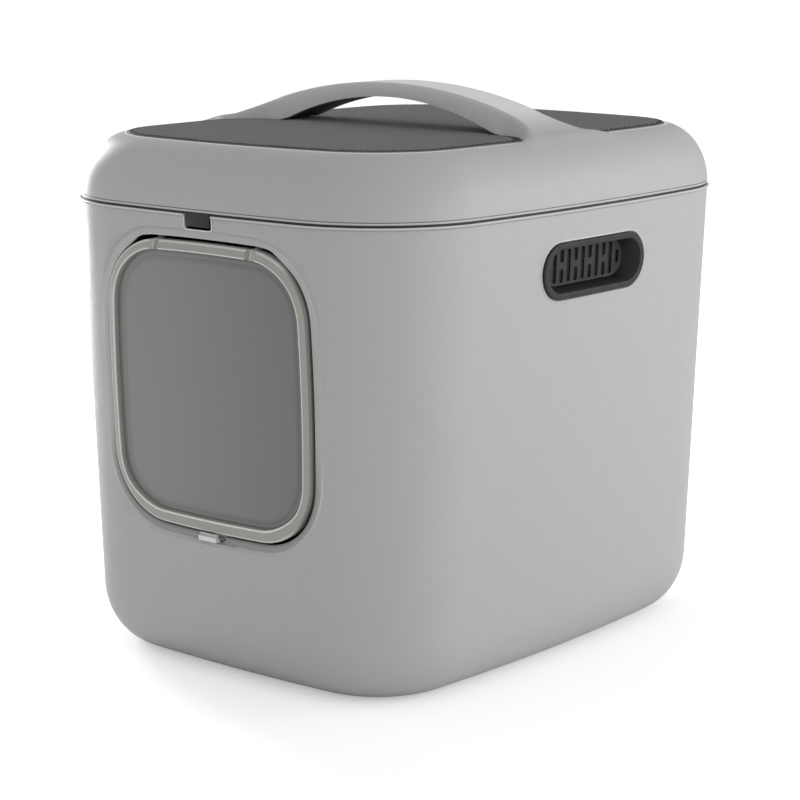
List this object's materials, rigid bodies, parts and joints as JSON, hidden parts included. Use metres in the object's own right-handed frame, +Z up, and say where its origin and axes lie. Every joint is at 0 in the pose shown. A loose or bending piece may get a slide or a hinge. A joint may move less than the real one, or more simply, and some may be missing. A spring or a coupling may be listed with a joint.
{
  "type": "enclosed litter box",
  "caption": "Deep grey litter box with a swinging clear front flap, slide latch, lift-off lid with mat and arched handle, liner frame, and vented side grips with filters.",
  "frame": {"origin": "on the floor under the middle of the tub", "axes": "+Z up, -Y towards the front flap, +X to the right of the flap as seen from inside, the side whose vent shows"},
  "size_m": [0.499, 0.6138, 0.576],
  "materials": {
    "tub_plastic": "light grey moulded polypropylene, fine satin grain",
    "lid_plastic": "light grey moulded polypropylene, fine satin grain",
    "liner_plastic": "charcoal moulded plastic, satin",
    "mat_rubber": "dark grey soft mat with a fine woven nub",
    "flap_plastic": "warm grey moulded plastic, satin",
    "window_pane": "smoky translucent polycarbonate, glossy",
    "pin_steel": "plain steel",
    "latch_plastic": "pale grey moulded plastic, satin",
    "vent_plastic": "charcoal moulded plastic, satin",
    "filter_foam": "black carbon-filled fibre pad"
  },
  "bodies": {
    "tub": {"body_shell": "tub_plastic", "vent_insert_left": "vent_plastic", "vent_insert_right": "vent_plastic", "latch_keeper": "liner_plastic", "latch_screws": "pin_steel"},
    "liner": {"liner_frame": "liner_plastic"},
    "lid": {"lid_shell": "lid_plastic", "lid_mat": "mat_rubber"},
    "flap": {"flap_frame": "flap_plastic", "flap_window": "window_pane", "flap_rear_ring": "flap_plastic", "hinge_cap_left": "flap_plastic", "hinge_cap_right": "flap_plastic", "hinge_pin_left": "pin_steel", "hinge_pin_right": "pin_steel"},
    "latch": {"latch_slider": "latch_plastic"},
    "filter_left": {"filter_cover_left": "vent_plastic", "filter_pad_left": "filter_foam"},
    "filter_right": {"filter_cover_right": "vent_plastic", "filter_pad_right": "filter_foam"}
  },
  "joints": [
    {"name": "liner_lift", "type": "slide", "parent": "tub", "child": "liner", "axis": [0, 0, 1], "range_m": [0, 0.06]},
    {"name": "lid_lift", "type": "slide", "parent": "liner", "child": "lid", "axis": [0, 0, 1], "range_m": [0, 0.12]},
    {"name": "flap_swing", "type": "hinge", "parent": "tub", "child": "flap", "pos_m": [0, -0.29437, 0.43333], "axis": [1, 0, 0], "range_deg": [-60, 65]},
    {"name": "latch_slide", "type": "slide", "parent": "tub", "child": "latch", "axis": [0, -0.0366, 0.9993], "range_m": [0, 0.005]},
    {"name": "filter_left_unclip", "type": "slide", "parent": "tub", "child": "filter_left", "axis": [0.9993, 0, 0.0366], "range_m": [0, 0.04]},
    {"name": "filter_right_unclip", "type": "slide", "parent": "tub", "child": "filter_right", "axis": [-0.9993, 0, 0.0366], "range_m": [0, 0.04]}
  ]
}
